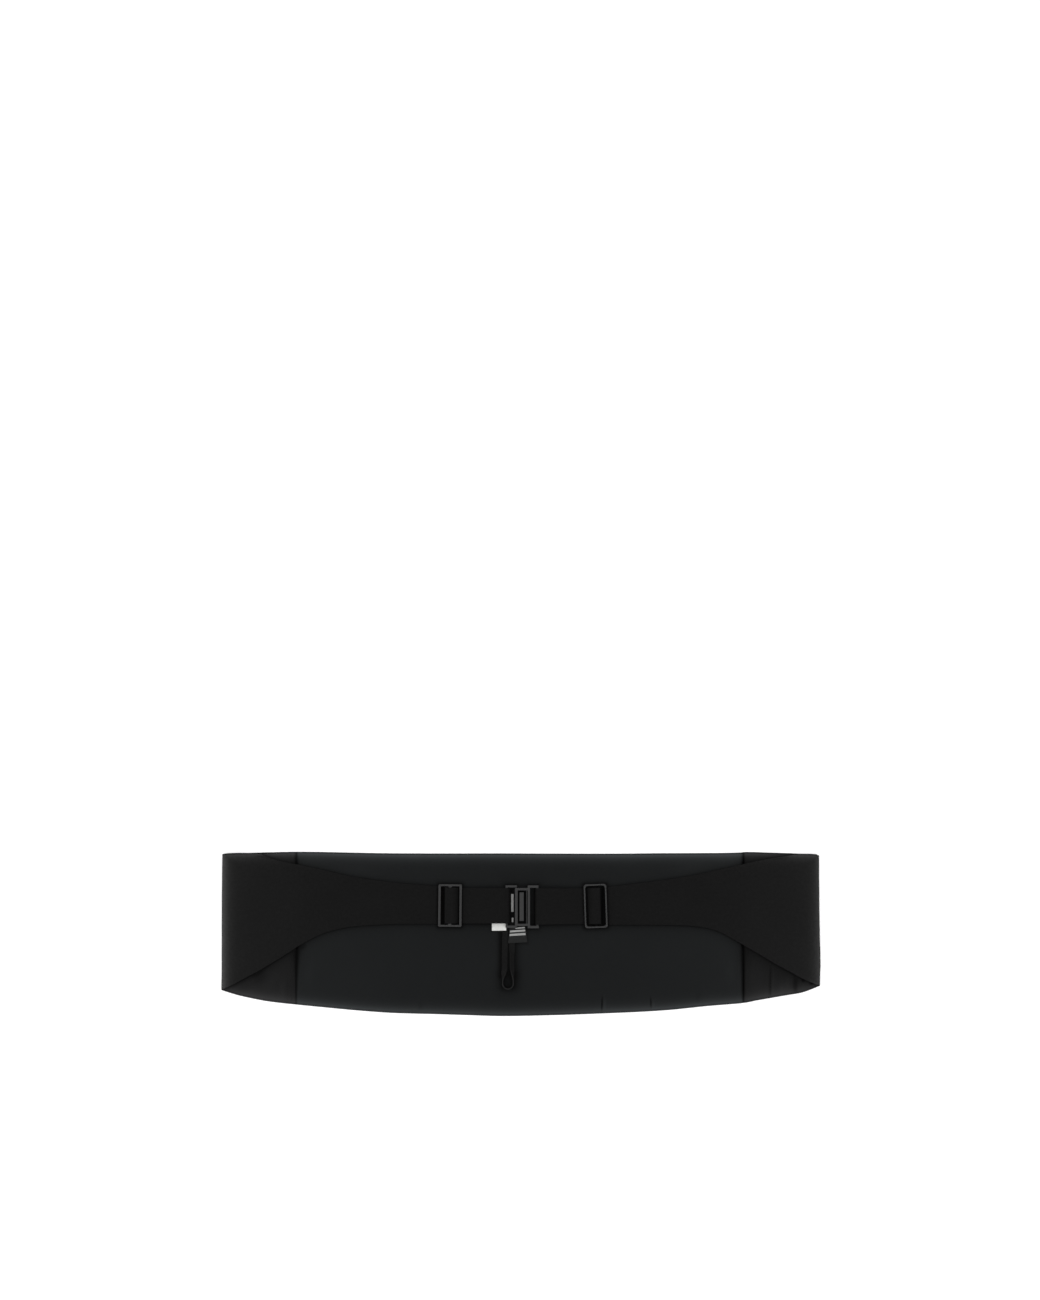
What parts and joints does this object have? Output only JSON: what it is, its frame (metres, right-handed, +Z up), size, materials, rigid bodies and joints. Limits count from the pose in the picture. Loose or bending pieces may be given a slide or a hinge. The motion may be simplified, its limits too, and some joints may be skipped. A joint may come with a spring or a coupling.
{
  "type": "cummerbund",
  "caption": "Fastened cummerbund laid flat, lining up: a lined front panel, folded side wings tapering to straps, adjusting slides, a hook-and-eye clasp and a button loop.",
  "frame": {"origin": "on the surface that the cummerbund lies on, under the middle of its outline", "axes": "+X along the band, from the hook's wing to the eye's wing; +Y up the garment as worn; +Z up from the surface, out of the lining"},
  "size_m": [0.43, 0.1174, 0.0081],
  "materials": {
    "shell_satin": "black satin, soft sheen",
    "lining_satin": "smooth black satin lining, soft sheen",
    "wing_cloth": "matt black fine-woven cloth",
    "slide_plastic": "dark grey, half gloss",
    "clasp_plastic": "dark grey, half gloss",
    "label_weave": "black woven label with plain light bars",
    "tag_weave": "white woven tag",
    "loop_tape": "matt black narrow tape"
  },
  "bodies": {
    "root": {"front_shell": "shell_satin", "front_lining": "lining_satin", "wing_left": "wing_cloth", "wing_right": "wing_cloth", "slide_left": "slide_plastic", "slide_right": "slide_plastic", "clasp_hook": "clasp_plastic", "clasp_eye": "clasp_plastic", "brand_label": "label_weave", "care_label": "label_weave", "size_tag": "tag_weave", "button_loop": "loop_tape"}
  },
  "joints": []
}
